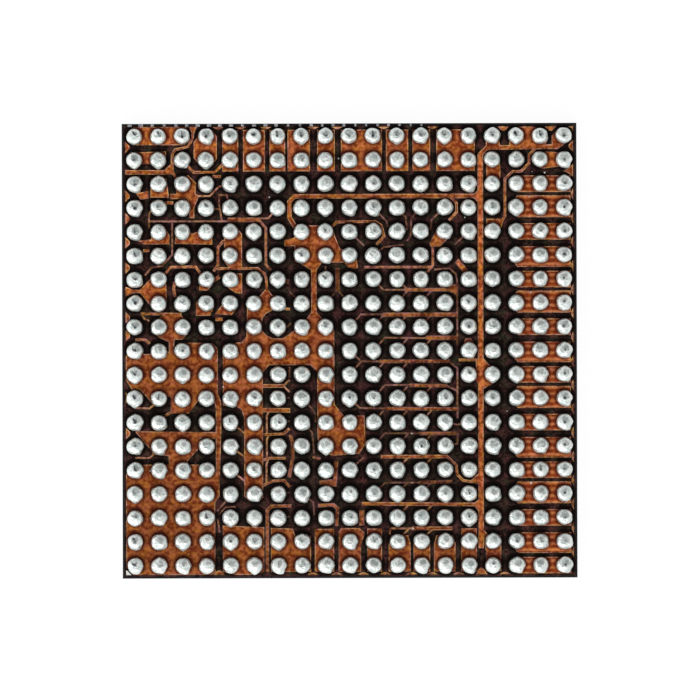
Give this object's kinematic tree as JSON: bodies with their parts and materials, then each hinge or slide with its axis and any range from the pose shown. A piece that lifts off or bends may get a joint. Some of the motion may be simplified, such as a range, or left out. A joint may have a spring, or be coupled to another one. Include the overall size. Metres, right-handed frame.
{
  "type": "power management chip",
  "caption": "Bare square wafer-level chip, ball side up: a full grid of solder balls on a sawn silicon die with copper redistribution nets.",
  "frame": {"origin": "middle of the back face, which the chip lies on", "axes": "+Z out of the ball side, +Y towards ball row A, +X from ball column 1 to column 19"},
  "size_m": [0.0076, 0.0076, 0.0006],
  "materials": {
    "solder": "matt grey tin-silver-copper solder",
    "copper": "plated copper seen through a clear polymer",
    "corner_mark": "pale metal mark",
    "dielectric": "near-black polyimide, faintly mottled",
    "silicon": "sawn silicon, dark grey",
    "back_film": "matt black back film"
  },
  "bodies": {
    "root": {"back_film": "back_film", "balls_row_a": "solder", "balls_row_b": "solder", "balls_row_c": "solder", "balls_row_d": "solder", "balls_row_e": "solder", "balls_row_f": "solder", "balls_row_g": "solder", "balls_row_h": "solder", "balls_row_j": "solder", "balls_row_k": "solder", "balls_row_l": "solder", "balls_row_m": "solder", "balls_row_n": "solder", "balls_row_p": "solder", "balls_row_r": "solder", "balls_row_t": "solder", "balls_row_u": "solder", "balls_row_v": "solder", "balls_row_w": "solder", "copper_fill_east": "copper", "copper_fill_north": "copper", "copper_fill_south": "copper", "copper_fill_west": "copper", "copper_islands_east": "copper", "copper_islands_north": "copper", "copper_islands_row_b": "copper", "copper_islands_row_c": "copper", "copper_islands_row_e": "copper", "copper_islands_row_h": "copper", "copper_islands_south": "copper", "copper_ladder_row_f": "copper", "copper_line_row_d": "copper", "copper_plane_a1": "copper", "copper_plane_a4": "copper", "copper_plane_g2": "copper", "copper_plane_south": "copper", "copper_plane_south_west": "copper", "copper_signals_lower": "copper", "copper_signals_row_p": "copper", "copper_signals_upper": "copper", "copper_strap_c3": "copper", "copper_straps_row_u": "copper", "copper_supply_net": "copper", "copper_traces_row_e": "copper", "copper_traces_row_h": "copper", "corner_mark": "corner_mark", "dielectric_film": "dielectric", "silicon_die": "silicon"}
  },
  "joints": []
}
